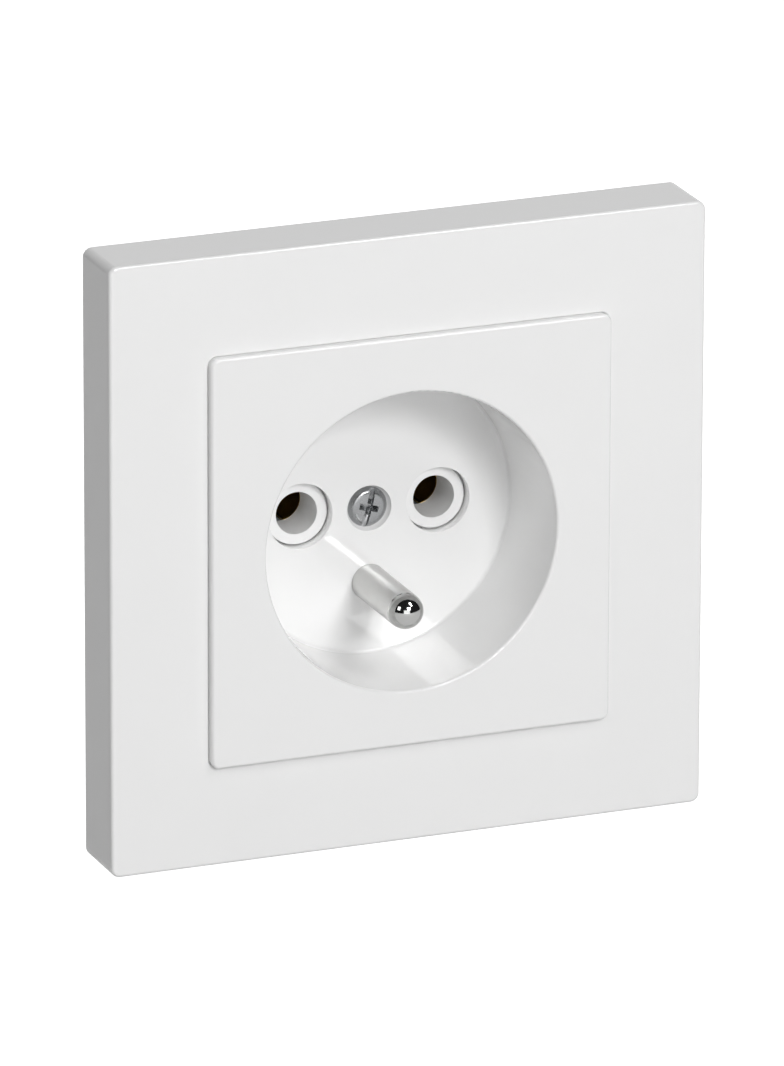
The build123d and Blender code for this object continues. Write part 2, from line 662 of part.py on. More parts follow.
def earth_pin():
    """The fixed earth pin with a round end, a neck that the carrier grips, a collar and a tail."""
    tip = FLOOR_Y - EARTH_PIN_REACH
    collar_back = WALL_BACK_Y + EARTH_COLLAR
    strap_back = collar_back + STRAP_SHEET
    return turned_with_dome([
        (EARTH_PIN_R, tip + EARTH_PIN_R),
        (EARTH_PIN_R, FLOOR_Y + EARTH_NECK_SINK),
        (EARTH_NECK_R, FLOOR_Y + EARTH_NECK_SINK),
        (EARTH_NECK_R, WALL_BACK_Y),
        (EARTH_COLLAR_R, WALL_BACK_Y),
        (EARTH_COLLAR_R, collar_back),
        (EARTH_TAIL_R, collar_back),
        (EARTH_TAIL_R, strap_back),
        (EARTH_HEAD_R, strap_back),
        (EARTH_HEAD_R, strap_back + EARTH_HEAD),
        (0, strap_back + EARTH_HEAD),
    ], EARTH_PIN_R, 0, -EARTH_PIN_DROP)


def earth_strap():
    """The brass strap from the earth pin to the earth terminal."""
    front = WALL_BACK_Y + EARTH_COLLAR
    back = front + STRAP_SHEET
    half = STRAP_WIDTH / 2
    tongue_half = STRIP_WIDTH / 2
    low = -EARTH_PIN_DROP - STRAP_BELOW_PIN
    tongue_end = CLAMP_FRONT_Y + CLAMP_LENGTH
    body = block(-half, half, front, back, low, -EARTH_TONGUE_Z)
    tongue_low = -EARTH_TONGUE_Z - STRIP_SHEET
    body += block(-tongue_half, tongue_half, front, tongue_end, tongue_low, -EARTH_TONGUE_Z)
    return body - rod(EARTH_TAIL_R + THREAD_GAP, front, back, 0, -EARTH_PIN_DROP)


def claw():
    """The right claw: a bent leg with trunnions and a toothed fork that grips the box."""
    half = CLAW_WIDTH / 2
    web_far = CLAW_WEB_X + CLAW_SHEET
    leg_front = PIVOT_Y - CLAW_PIVOT_MARGIN
    body = block(CLAW_WEB_X, web_far, leg_front, FORK_BACK_Y, -half, half)
    prong_low = CLAW_FORK / 2
    prong_mid = (prong_low + half) / 2
    root = CLAW_REACH - CLAW_TOOTH
    prong = make_face(Polyline(
        (CLAW_WEB_X, prong_low),
        (root, prong_low),
        (CLAW_REACH, (prong_low + prong_mid) / 2),
        (root, prong_mid),
        (CLAW_REACH, (prong_mid + half) / 2),
        (root, half),
        (CLAW_WEB_X, half),
        close=True,
    ))
    fork = plate_at(prong, FORK_BACK_Y - CLAW_SHEET, FORK_BACK_Y)
    body += fork
    body += mirror(fork, about=Plane.XY)
    body += upright(TRUNNION_R, -half - TRUNNION_LENGTH, -half, PIVOT_X, PIVOT_Y)
    body += upright(TRUNNION_R, half, half + TRUNNION_LENGTH, PIVOT_X, PIVOT_Y)
    barrel = upright(TRUNNION_R, -half, half, PIVOT_X, PIVOT_Y)
    return body + barrel


def barrel_nut():
    """The right barrel nut, which the claw screw draws forward against the fork."""
    half = BARREL_LENGTH / 2
    body = upright(BARREL_R, -half, half, CLAW_SCREW_OFFSET, BARREL_Y)
    bore = CLAW_SCREW_R + BARREL_BORE_GAP
    return body - rod(bore, BARREL_Y - BARREL_R, BARREL_Y + BARREL_R, CLAW_SCREW_OFFSET)


def claw_screws():
    """The two long screws that are turned from the front to spread the claws."""
    screws = []
    for side in (-1, 1):
        x = side * CLAW_SCREW_OFFSET
        front = -RING_THICK - CLAW_HEAD
        screw = rod(CLAW_HEAD_R, front, -RING_THICK, x)
        screw += rod(CLAW_SCREW_R, -RING_THICK, CLAW_SCREW_END, x)
        depth = CLAW_HEAD * RECESS_DEPTH_SHARE
        screws.append(screw - cross_recess(CLAW_HEAD_R * RECESS_SHARE, front, depth, x))
    return screws


def write(name, shape):
    """Writes one node as its own STEP file."""
    solids = shape if isinstance(shape, list) else list(shape.solids())
    out = solids[0] if len(solids) == 1 else Compound(children=solids)
    out.label = name
    export_step(out, "parts/" + name + ".step")


os.makedirs("parts", exist_ok=True)
write("cover_frame", cover_frame())
write("centre_plate", centre_plate())
write("cover_screw", cover_screw())
write("cover_nut", cover_nut())
write("support_ring", support_ring())
write("ring_rivets", ring_rivets())
write("contact_carrier", contact_carrier())
write("rear_cover", rear_cover())
write("housing_screws", housing_screws())
write("earth_pin", earth_pin())
write("earth_strap", earth_strap())
write("live_contact_left", live_contact(-1))
write("live_contact_right", live_contact(1))
write("contact_spring_left", contact_spring(-1))
write("contact_spring_right", contact_spring(1))
for terminal, place in zip(("left", "right", "earth"), terminals()):
    write("terminal_clamp_" + terminal, terminal_clamp(*place))
write("terminal_screws", terminal_screws())
write("claw_right", claw())
write("claw_left", mirror(claw(), about=Plane.YZ))
write("claw_nut_right", barrel_nut())
write("claw_nut_left", mirror(barrel_nut(), about=Plane.YZ))
write("claw_screws", claw_screws())
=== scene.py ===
import math

import bmesh
import bpy
from bpy.props import FloatProperty, FloatVectorProperty, PointerProperty
from bpy.types import Operator, Panel, PropertyGroup
from mathutils import Matrix, Vector


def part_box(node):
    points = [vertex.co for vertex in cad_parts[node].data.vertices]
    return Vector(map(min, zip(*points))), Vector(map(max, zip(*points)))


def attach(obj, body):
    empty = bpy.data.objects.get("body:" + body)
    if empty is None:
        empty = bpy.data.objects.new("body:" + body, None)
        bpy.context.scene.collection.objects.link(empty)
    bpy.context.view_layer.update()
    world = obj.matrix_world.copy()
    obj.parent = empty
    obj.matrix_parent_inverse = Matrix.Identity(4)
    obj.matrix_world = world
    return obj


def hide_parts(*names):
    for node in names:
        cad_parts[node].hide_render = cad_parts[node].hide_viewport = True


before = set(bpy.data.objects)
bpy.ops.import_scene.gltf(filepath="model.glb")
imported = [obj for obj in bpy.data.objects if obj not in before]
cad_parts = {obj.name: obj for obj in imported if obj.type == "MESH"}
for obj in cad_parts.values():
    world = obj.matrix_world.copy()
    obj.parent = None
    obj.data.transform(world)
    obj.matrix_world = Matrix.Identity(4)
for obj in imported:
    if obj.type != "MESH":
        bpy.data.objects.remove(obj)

bl_info = {
    "name": "Flush Socket Dresser",
    "version": (1, 0, 0),
    "blender": (4, 5, 0),
    "location": "View3D > Sidebar > Socket",
    "description": "Gives a flush wall socket its finishes, fine detail, light and camera",
    "category": "Object",
}

MM = 0.001

# Places read from the frame
FRAME_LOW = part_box("cover_frame")[0]
PLATE_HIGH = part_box("centre_plate")[1]
SCREW_LOW, SCREW_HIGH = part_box("cover_screw")
PIN_LOW, PIN_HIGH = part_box("earth_pin")
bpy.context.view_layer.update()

# Places of the small parts, in millimetres from the middle of the cover's wall side
HOLE_X = 9.5
RIVET_REACH = 18.4
CLAW_SCREW_X, CLAW_SCREW_Y = 26.5, -2.8
TERMINAL_Y, TERMINAL_REACH = 23.5, 16.7
HOUSING_SCREW_Y = 30.0
HOUSING_SCREWS = ((0, 13.0), (-14.8, -12.8), (14.8, -12.8))

# The frame's window edge: how wide its band of points is, and how far back it reaches
WINDOW_BAND = 0.5
WINDOW_BACK = -8.99
WINDOW_SNUG = 0.9976

# Merging, edges and shading of meshes
MERGE_DISTANCE = 0.0005 * MM
FLAT_ANGLE = math.radians(0.5)
MOULDED_EDGE_ANGLE = math.radians(60)
RECESS_EDGE_ANGLE = math.radians(38)
SMOOTH_ANGLE = math.radians(32)
FAIR_ANGLE = math.radians(50)
WIDE_FACE = 1.2 * MM ** 2
NARROW_WEIGHT = 0.001
TURN_STEPS = 72

# Screws: the pitch in millimetres, the thread's depth to its half pitch, its crest's slope, and
# the taper under which a slot gets shorter too
FINE_PITCH = 0.5
THREAD_DEPTH = 0.61
CREST_SLOPE = 1.25
STEEP_TAPER = 0.8

# Sockets of the mix node when it mixes colours
MIX_FACTOR, MIX_DARK, MIX_LIGHT, MIX_RESULT = 0, 6, 7, 2

# The photograph's camera and the studio
FILM_WIDTH = 36.0
FOCAL_PIXELS = 12215.0
PHOTO_HEIGHT = 1066.0
WHITE = (1, 1, 1, 1)
FLOOR_GREY = (0.52, 0.52, 0.52, 1)
FLOOR_MIRRORED = 0.5
FLOOR_HALF_WIDTH = 4.0


# Sizes and colours that a user would change

class SocketFinish(PropertyGroup):
    """Colours and gloss of the socket's materials."""

    plastic: FloatVectorProperty(
        name="Plastic", description="Colour of the moulded cover", subtype="COLOR",
        default=(0.93, 0.93, 0.928), min=0.0, max=1.0)
    plastic_roughness: FloatProperty(
        name="Plastic Roughness", description="Gloss of the moulded cover", subtype="FACTOR",
        default=0.06, min=0.0, max=1.0)
    insert: FloatVectorProperty(
        name="Insert", description="Colour of the insert behind the wall", subtype="COLOR",
        default=(0.56, 0.57, 0.58), min=0.0, max=1.0)
    nickel: FloatVectorProperty(
        name="Nickel", description="Colour of the plated earth pin", subtype="COLOR",
        default=(0.62, 0.62, 0.61), min=0.0, max=1.0)
    steel: FloatVectorProperty(
        name="Steel", description="Colour of screws and sheet steel", subtype="COLOR",
        default=(0.56, 0.57, 0.58), min=0.0, max=1.0)
    brass: FloatVectorProperty(
        name="Brass", description="Colour of contacts and clamps", subtype="COLOR",
        default=(0.80, 0.56, 0.20), min=0.0, max=1.0)


class SocketCamera(PropertyGroup):
    """The photograph's viewing angle."""

    yaw: FloatProperty(
        name="Yaw", description="Turn of the view to the right", subtype="ANGLE",
        default=math.radians(21.735))
    pitch: FloatProperty(
        name="Pitch", description="How far the view looks down", subtype="ANGLE",
        default=math.radians(18.293))
    roll: FloatProperty(
        name="Roll", description="Tilt of the picture", subtype="ANGLE",
        default=math.radians(0.152))
    distance: FloatProperty(
        name="Distance", description="From the camera to the middle of the cover's front",
        subtype="DISTANCE", unit="LENGTH", default=1.56)
    slide: FloatProperty(
        name="Slide", description="Sideways place of the camera", subtype="DISTANCE",
        unit="LENGTH", default=-2.224 * MM)
    rise: FloatProperty(
        name="Rise", description="Upward place of the camera", subtype="DISTANCE",
        unit="LENGTH", default=0.862 * MM)
    lens: FloatProperty(
        name="Lens", description="Focal length on a 36 mm film", subtype="DISTANCE_CAMERA",
        default=FILM_WIDTH * FOCAL_PIXELS / PHOTO_HEIGHT)


class SocketStage(PropertyGroup):
    """The plain studio round the socket."""

    floor_drop: FloatProperty(
        name="Floor Drop", description="From the cover's lower edge down to the floor",
        subtype="DISTANCE", unit="LENGTH", default=0.05, min=0.0)
    world_light: FloatProperty(
        name="World Light", description="Strength of the even light", default=0.02, min=0.0)
    key_light: FloatProperty(
        name="Key Light", description="Power of the large front lamp in watts",
        default=9.9, min=0.0)
    high_light: FloatProperty(
        name="High Light", description="Power of the upright lamp over the key lamp in watts",
        default=4.5, min=0.0)
    back_light: FloatProperty(
        name="Back Light", description="Power of the lamp behind in watts",
        default=11.0, min=0.0)
    side_light: FloatProperty(
        name="Side Light", description="Power of the lamp on the left in watts",
        default=2.6, min=0.0)
    top_light: FloatProperty(
        name="Top Light", description="Power of the lamp overhead in watts",
        default=0.5, min=0.0)
    fill_light: FloatProperty(
        name="Fill Light", description="Power of the wide lamp near the camera in watts",
        default=6.6, min=0.0)


# Helpers for meshes

def linked(name, mesh):
    """A new object at the origin that shows a mesh."""
    obj = bpy.data.objects.new(name, mesh)
    bpy.context.scene.collection.objects.link(obj)
    return obj


def mesh_of(name, bm):
    """Turns a bmesh into a smooth mesh with its faces outward and its hard edges kept."""
    bmesh.ops.recalc_face_normals(bm, faces=bm.faces)
    mesh = bpy.data.meshes.new(name)
    bm.to_mesh(mesh)
    bm.free()
    soften(mesh)
    return mesh


def soften(mesh):
    """Shades a mesh smooth and keeps its hard edges."""
    for face in mesh.polygons:
        face.use_smooth = True
    mesh.set_sharp_from_angle(angle=SMOOTH_ANGLE)


def baked(obj, name):
    """The mesh that an object's modifiers give. The object itself is removed."""
    graph = bpy.context.evaluated_depsgraph_get()
    mesh = bpy.data.meshes.new_from_object(obj.evaluated_get(graph))
    mesh.name = name
    old = obj.data
    bpy.data.objects.remove(obj)
    bpy.data.meshes.remove(old)
    return mesh


def dressed(name, mesh, material, body, slot, *nodes):
    """Shows a mesh as a piece, with its material and body, and hides the nodes that it stands for.
    The slot is not used.
    """
    mesh.materials.clear()
    mesh.materials.append(material)
    obj = linked(name, mesh)
    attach(obj, body)
    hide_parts(*nodes)
    return obj


def node_mesh(node, rims=(), snug=1.0):
    """A copy of a node's mesh with its doubled points merged and its flat faces whole.

    Each rim is the x and z of a hole, the least and greatest radius of its points, their greatest
    Y, and the radius and Y that they get, all in millimetres. Where that Y is None, theirs stays.
    The frame's window is drawn in by the factor snug.
    """
    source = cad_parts[node]
    bm = bmesh.new()
    bm.from_mesh(source.data)
    bm.transform(source.matrix_world)
    for x, z, low, high, back, radius, place in rims:
        for vert in bm.verts:
            off_x, off_z = vert.co.x / MM - x, vert.co.z / MM - z
            reach = math.hypot(off_x, off_z)
            if low < reach < high and vert.co.y / MM < back:
                y = vert.co.y if place is None else place * MM
                vert.co = ((x + off_x * radius / reach) * MM, y, (z + off_z * radius / reach) * MM)
    edge = PLATE_HIGH.x / MM
    for vert in bm.verts:
        reach = max(abs(vert.co.x), abs(vert.co.z)) / MM
        on_window = abs(reach - edge) < WINDOW_BAND and vert.co.y / MM < WINDOW_BACK
        if snug != 1.0 and on_window:
            vert.co = (vert.co.x * snug, vert.co.y, vert.co.z * snug)
    bmesh.ops.remove_doubles(bm, verts=bm.verts, dist=MERGE_DISTANCE)
    bmesh.ops.dissolve_limit(bm, angle_limit=FLAT_ANGLE, verts=bm.verts, edges=bm.edges)
    mesh = bpy.data.meshes.new(node + "_copy")
    bm.to_mesh(mesh)
    bm.free()
    return mesh


def eased(name, node, width, rims=(), snug=1.0):
    """A node's shape with the small radius that its mould or press leaves on every edge."""
    obj = linked(name, node_mesh(node, rims, snug))
    for face in obj.data.polygons:
        face.use_smooth = True
    bevel = obj.modifiers.new("edge_radius", "BEVEL")
    bevel.width = width
    bevel.segments = 2
    bevel.limit_method = "ANGLE"
    bevel.angle_limit = MOULDED_EDGE_ANGLE
    bevel.miter_outer = "MITER_ARC"
    mesh = baked(obj, name)
    fair_normals(mesh)
    return mesh


def fair_normals(mesh):
    """Gives every corner the normal of the surface it is on, so that wide faces stay flat."""
    bm = bmesh.new()
    bm.from_mesh(mesh)
    order = {}
    for face in bm.faces:
        for loop in face.loops:
            order[loop] = len(order)
    weight = {}
    for face in bm.faces:
        area = face.calc_area()
        weight[face] = area / WIDE_FACE if area > WIDE_FACE else NARROW_WEIGHT
    same = math.cos(FAIR_ANGLE)
    normals = [Vector((0, 0, 1))] * len(order)
    for vert in bm.verts:
        around = [(loop, loop.calc_angle() * weight[loop.face]) for loop in vert.link_loops]
        for loop, _ in around:
            own = loop.face.normal
            total = Vector()
            for other, share in around:
                if other.face.normal.dot(own) > same:
                    total += other.face.normal * share
            normals[order[loop]] = total.normalized() if total.length > 0 else own.copy()
    bm.free()
    mesh.normals_split_custom_set(normals)


def turned(bm, profile, steps=TURN_STEPS):
    """A turned piece along Y, from pairs of radius and Y in millimetres, closed on the axis."""
    rings = []
    for radius, y in profile:
        if radius == 0:
            rings.append([bm.verts.new((0, y * MM, 0))])
            continue
        ring = []
        for step in range(steps):
            turn = 2 * math.pi * step / steps
            place = (radius * MM * math.cos(turn), y * MM, radius * MM * math.sin(turn))
            ring.append(bm.verts.new(place))
        rings.append(ring)
    for first, second in zip(rings, rings[1:]):
        for step in range(steps):
            after = (step + 1) % steps
            corners = [first[step % len(first)], first[after % len(first)],
                       second[after % len(second)], second[step % len(second)]]
            bm.faces.new(list(dict.fromkeys(corners)))


def arc(centre, radius, start, end, count):
    """Points on an arc of a profile, as pairs of radius and Y, with angles in degrees."""
    turns = (math.radians(start + (end - start) * step / count) for step in range(count + 1))
    return [(centre[0] + radius * math.cos(t), centre[1] + radius * math.sin(t)) for t in turns]


def threaded(bm, radius, pitch, start, end, steps=28):
    """A closed threaded rod along Y between two places in millimetres, fading at both ends."""
    depth = THREAD_DEPTH * pitch / 2
    per_turn = 8
    count = max(2, round((end - start) / pitch * per_turn))
    rings = []
    for row in range(count + 1):
        y = start + (end - start) * row / count
        fade = min(1.0, (y - start) / pitch, (end - y) / pitch)
        ring = []
        for step in range(steps):
            share = step / steps
            phase = (y / pitch - share) % 1.0
            crest = abs(2 * phase - 1)
            r = (radius - depth * fade * (1 - min(1.0, crest * CREST_SLOPE))) * MM
            turn = 2 * math.pi * share
            ring.append(bm.verts.new((r * math.cos(turn), y * MM, r * math.sin(turn))))
        rings.append(ring)
    for first, second in zip(rings, rings[1:]):
        for step in range(steps):
            after = (step + 1) % steps
            bm.faces.new((first[step], first[after], second[after], second[step]))
    bm.faces.new(rings[0])
    bm.faces.new(rings[-1])


def cut(mesh, name, cutters, edge):
    """A mesh with shapes cut from it, and a small radius on the edges that this leaves."""
    obj = linked(name, mesh)
    tools = []
    for number, cutter in enumerate(cutters):
        tool = linked(name + "_cutter", cutter)
        tools.append(tool)
        step = obj.modifiers.new("recess_%d" % number, "BOOLEAN")
        step.operation = "DIFFERENCE"
        step.solver = "EXACT"
        step.object = tool
    bevel = obj.modifiers.new("edge_radius", "BEVEL")
    bevel.width = edge
    bevel.segments = 2
    bevel.limit_method = "ANGLE"
    bevel.angle_limit = RECESS_EDGE_ANGLE
    bevel.harden_normals = True
    result = baked(obj, name)
    for tool in tools:
        old = tool.data
        bpy.data.objects.remove(tool)
        bpy.data.meshes.remove(old)
    return result


def wedge_cutter(half_width, half_length, top, bottom, taper):
    """A cutter for one slot between two heights along Y, narrower at its bottom.

    Where the taper is steep, as in a cross recess, the slot gets shorter there too.
    """
    bm = bmesh.new()
    corners = []
    for y, scale in ((top, 1.0), (bottom, taper)):
        wide, long = half_width * scale, half_length * (scale if taper < STEEP_TAPER else 1.0)
        outline = ((-wide, -long), (wide, -long), (wide, long), (-wide, long))
        corners.append([bm.verts.new((x * MM, y * MM, z * MM)) for x, z in outline])
    low, high = corners
    bm.faces.new(low)
    bm.faces.new(high)
    for step in range(4):
        after = (step + 1) % 4
        bm.faces.new((low[step], low[after], high[after], high[step]))
    return bm


def turned_cutter(bm, degrees):
    """The mesh of a cutter, turned about Y."""
    bm.transform(Matrix.Rotation(math.radians(degrees), 4, "Y"))
    return mesh_of("cutter", bm)


def add_mesh(mesh, bm):
    """Adds the shells of a bmesh to a mesh that is already shaded."""
    extra = mesh_of("extra", bm)
    both = bmesh.new()
    both.from_mesh(mesh)
    both.from_mesh(extra)
    bpy.data.meshes.remove(extra)
    both.to_mesh(mesh)
    both.free()
    soften(mesh)
    return mesh


def screw_mesh(name, head, cutters, edge, radius, thread_start, tip):
    """A screw along Y from a head profile, its recess, and a thread that ends at its tip."""
    bm = bmesh.new()
    turned(bm, head)
    mesh = cut(mesh_of(name, bm), name, cutters, edge)
    bm = bmesh.new()
    threaded(bm, radius, FINE_PITCH, thread_start, tip)
    return add_mesh(mesh, bm)


def crossed(half_width, reach, top, bottom, degrees=0):
    """The two cutters of a cross recess."""
    return [
        turned_cutter(wedge_cutter(half_width, reach, top, bottom, 0.5), degrees + turn)
        for turn in (0, 90)
    ]


def repeat_group():
    """Geometry nodes that put one piece on every point and make it real."""
    tree = bpy.data.node_groups.new("repeat_piece", "GeometryNodeTree")
    face = tree.interface
    face.new_socket("Places", in_out="INPUT", socket_type="NodeSocketGeometry")
    face.new_socket("Piece", in_out="INPUT", socket_type="NodeSocketObject")
    face.new_socket("Material", in_out="INPUT", socket_type="NodeSocketMaterial")
    face.new_socket("Pieces", in_out="OUTPUT", socket_type="NodeSocketGeometry")
    start = tree.nodes.new("NodeGroupInput")
    end = tree.nodes.new("NodeGroupOutput")
    info = tree.nodes.new("GeometryNodeObjectInfo")
    turn = tree.nodes.new("GeometryNodeInputNamedAttribute")
    turn.data_type = "FLOAT_VECTOR"
    turn.inputs["Name"].default_value = "turn"
    rotation = tree.nodes.new("FunctionNodeEulerToRotation")
    place = tree.nodes.new("GeometryNodeInstanceOnPoints")
    real = tree.nodes.new("GeometryNodeRealizeInstances")
    paint = tree.nodes.new("GeometryNodeSetMaterial")
    join = tree.links.new
    join(start.outputs["Places"], place.inputs["Points"])
    join(start.outputs["Piece"], info.inputs["Object"])
    join(info.outputs["Geometry"], place.inputs["Instance"])
    join(turn.outputs["Attribute"], rotation.inputs["Euler"])
    join(rotation.outputs["Rotation"], place.inputs["Rotation"])
    join(place.outputs["Instances"], real.inputs["Geometry"])
    join(real.outputs["Geometry"], paint.inputs["Geometry"])
    join(start.outputs["Material"], paint.inputs["Material"])
    join(paint.outputs["Geometry"], end.inputs["Pieces"])
    return tree


def repeated(name, mesh, places, material):
    """One mesh set at several places, each a point in millimetres and a turn in degrees."""
    piece = linked(name + "_piece", mesh)
    points = bpy.data.meshes.new(name + "_places")
    points.from_pydata([[part * MM for part in point] for point, turn in places], [], [])
    turns = points.attributes.new("turn", "FLOAT_VECTOR", "POINT")
    for number, (point, turn) in enumerate(places):
        turns.data[number].vector = [math.radians(part) for part in turn]
    obj = linked(name, points)
    modifier = obj.modifiers.new("repeat", "NODES")
    tree = bpy.data.node_groups.get("repeat_piece") or repeat_group()
    modifier.node_group = tree
    sockets = tree.interface.items_tree
    inputs = {item.name: item.identifier for item in sockets if item.in_out == "INPUT"}
    modifier[inputs["Piece"]] = piece
    modifier[inputs["Material"]] = material
    result = baked(obj, name)
    bpy.data.objects.remove(piece)
    bpy.data.meshes.remove(mesh)
    return result


# Helpers for materials

def new_material(name):
    """An empty node material with its shader and output."""
    material = bpy.data.materials.new(name)
    material.use_nodes = True
    tree = material.node_tree
    tree.nodes.clear()
    out = tree.nodes.new("ShaderNodeOutputMaterial")
    shader = tree.nodes.new("ShaderNodeBsdfPrincipled")
    tree.links.new(shader.outputs["BSDF"], out.inputs["Surface"])
    return material, tree, shader


def noise(tree, scale, detail=2.0, roughness=0.5, stretch=(1, 1, 1)):
    """Noise on object coordinates, with its scale in lumps per metre."""
    coords = tree.nodes.new("ShaderNodeTexCoord")
    mapping = tree.nodes.new("ShaderNodeMapping")
    mapping.inputs["Scale"].default_value = stretch
    texture = tree.nodes.new("ShaderNodeTexNoise")
    texture.inputs["Scale"].default_value = scale
    texture.inputs["Detail"].default_value = detail
    texture.inputs["Roughness"].default_value = roughness
    tree.links.new(coords.outputs["Object"], mapping.inputs["Vector"])
    tree.links.new(mapping.outputs["Vector"], texture.inputs["Vector"])
    return texture.outputs["Fac"]


def spread(tree, value, low, high):
    """Maps a value from 0 to 1 onto a range."""
    node = tree.nodes.new("ShaderNodeMapRange")
    node.inputs["To Min"].default_value = low
    node.inputs["To Max"].default_value = high
    tree.links.new(value, node.inputs["Value"])
    return node.outputs["Result"]


def tint(tree, value, dark, light):
    """A colour between two, by a value."""
    node = tree.nodes.new("ShaderNodeMix")
    node.data_type = "RGBA"
    node.inputs[MIX_DARK].default_value = (*dark, 1.0)
    node.inputs[MIX_LIGHT].default_value = (*light, 1.0)
    tree.links.new(value, node.inputs[MIX_FACTOR])
    return node.outputs[MIX_RESULT]


def bump(tree, height, depth, strength, below=None):
    """A bump from a height, with its depth in metres, over another bump if there is one."""
    node = tree.nodes.new("ShaderNodeBump")
    node.inputs["Strength"].default_value = strength
    node.inputs["Distance"].default_value = depth
    tree.links.new(height, node.inputs["Height"])
    if below is not None:
        tree.links.new(below, node.inputs["Normal"])
    return node.outputs["Normal"]


def shaded(colour, factor):
    """A colour made darker or lighter."""
    return tuple(min(1.0, part * factor) for part in colour)


def moulded_plastic(name, colour, roughness, grain_depth=0.0):
    """Moulded plastic with a faint flow mottle, uneven gloss and a fine skin."""
    material, tree, shader = new_material(name)
    mottle = tint(tree, noise(tree, 60.0, 3.0), shaded(colour, 0.985), shaded(colour, 1.01))
    tree.links.new(mottle, shader.inputs["Base Color"])
    gloss = noise(tree, 900.0, 2.0)
    low, high = roughness * 0.9, roughness * 1.12
    tree.links.new(spread(tree, gloss, low, high), shader.inputs["Roughness"])
    shader.inputs["IOR"].default_value = 1.7
    ripple = bump(tree, noise(tree, 220.0, 1.0), 0.012 * MM, 0.35)
    skin = bump(tree, noise(tree, 5200.0, 2.0), max(grain_depth, 0.002 * MM), 0.25, ripple)
    tree.links.new(skin, shader.inputs["Normal"])
    return material


def plated_metal(name, colour, roughness, line_scale=(1, 1, 1), line_depth=0.004 * MM):
    """Bright metal with fine tool lines and a little cloudiness in its gloss."""
    material, tree, shader = new_material(name)
    cloud = tint(tree, noise(tree, 380.0, 3.0), shaded(colour, 0.93), shaded(colour, 1.04))
    tree.links.new(cloud, shader.inputs["Base Color"])
    shader.inputs["Metallic"].default_value = 1.0
    lines = noise(tree, 4000.0, 2.0, 0.6, line_scale)
    low, high = roughness * 0.8, roughness * 1.35
    tree.links.new(spread(tree, lines, low, high), shader.inputs["Roughness"])
    tree.links.new(bump(tree, lines, line_depth, 0.3), shader.inputs["Normal"])
    return material


# The pieces

class SOCKET_OT_materials(Operator):
    """Make the materials."""

    bl_idname = "socket.materials"
    bl_label = "Materials"

    def execute(self, context):
        finish = context.scene.socket_finish
        moulded_plastic("white_moulding", finish.plastic, finish.plastic_roughness)
        moulded_plastic("insert_white", finish.plastic, 0.3)
        moulded_plastic("insert_grey", finish.insert, 0.42, 0.01 * MM)
        plated_metal("zinc_steel", finish.steel, 0.3)
        # The cover screw's zinc is painted darker than the other steel: painted shade, so that its
        # face shows less of the white floor it reflects.
        plated_metal("satin_zinc_painted_shade", shaded(finish.steel, 0.68), 0.24)
        plated_metal("spring_steel", shaded(finish.steel, 0.7), 0.28)
        plated_metal("stamped_brass", finish.brass, 0.24)
        # The sleeves' brass is painted darker: painted shade for the deep holes that the sleeves
        # sit in.
        plated_metal("sleeve_brass_painted_shade", shaded(finish.brass, 0.6), 0.16)
        # The pin's round end is painted darker than its body: painted shade on the end's
        # reflection. Its higher gloss is real.
        plated_metal("nickel_dome_painted_shade", shaded(finish.nickel, 0.86), 0.07)
        plated_metal("nickel_body", finish.nickel, 0.3, (1, 0.05, 1))
        return {"FINISHED"}


def paint(name):
    """A material that the materials operator has made."""
    return bpy.data.materials[name]


class SOCKET_OT_cover(Operator):
    """Build the cover frame and the centre plate."""

    bl_idname = "socket.cover"
    bl_label = "Cover"

    def execute(self, context):
        white = paint("white_moulding")
        mesh = eased("frame_moulding", "cover_frame", 0.12 * MM, (), WINDOW_SNUG)
        dressed("frame_moulding", mesh, white, "socket", "frame_white", "cover_frame")
        pin_hole = (0, (PIN_LOW.z + PIN_HIGH.z) / 2 / MM, 2.42, 2.5, 9, 2.41, None)
        mesh = eased("plate_moulding", "centre_plate", 0.1 * MM, [pin_hole])
        dressed("plate_moulding", mesh, white, "socket", "plate_white", "centre_plate")
        return {"FINISHED"}


class SOCKET_OT_screw(Operator):
    """Build the cover screw with its slot, its cross and its thread."""

    bl_idname = "socket.screw"
    bl_label = "Cover Screw"

    def execute(self, context):
        top, tip = SCREW_LOW.y / MM, SCREW_HIGH.y / MM
        turn, rim_r, shank_r = 14, 2.7, 1.5
        crown_r, crown = 2.05, 0.12
        dome_r = (crown_r ** 2 + crown ** 2) / (2 * crown)
        edge = math.degrees(math.acos(crown_r / dome_r))
        dome = arc((0, top + dome_r), dome_r, -90, -edge, 8)
        dome[0] = (0, top)
        rim_y = top + 0.75
        head = dome + [
            (2.2, top + 0.18), (2.34, top + 0.29), (2.46, top + 0.42), (rim_r - 0.05, rim_y - 0.08),
            (rim_r, rim_y), (rim_r, rim_y + 0.05), (shank_r, rim_y + 0.05 + rim_r - shank_r),
            (shank_r - 0.2, rim_y + 2.2), (0, rim_y + 2.2),
        ]
        slot = turned_cutter(wedge_cutter(0.42, rim_r + 0.3, top - 0.5, top + 0.62, 0.86), turn)
        cutters = [slot] + crossed(0.46, 1.5, top - 0.4, top + 1.5, turn)
        # The screw takes the darker zinc, which is painted shade.
        mesh = screw_mesh("screw_satin", head, cutters, 0.05 * MM, shank_r, rim_y + 1.3, tip)
        dressed("screw_satin", mesh, paint("satin_zinc_painted_shade"), "socket", "screw_steel", "cover_screw")
        return {"FINISHED"}


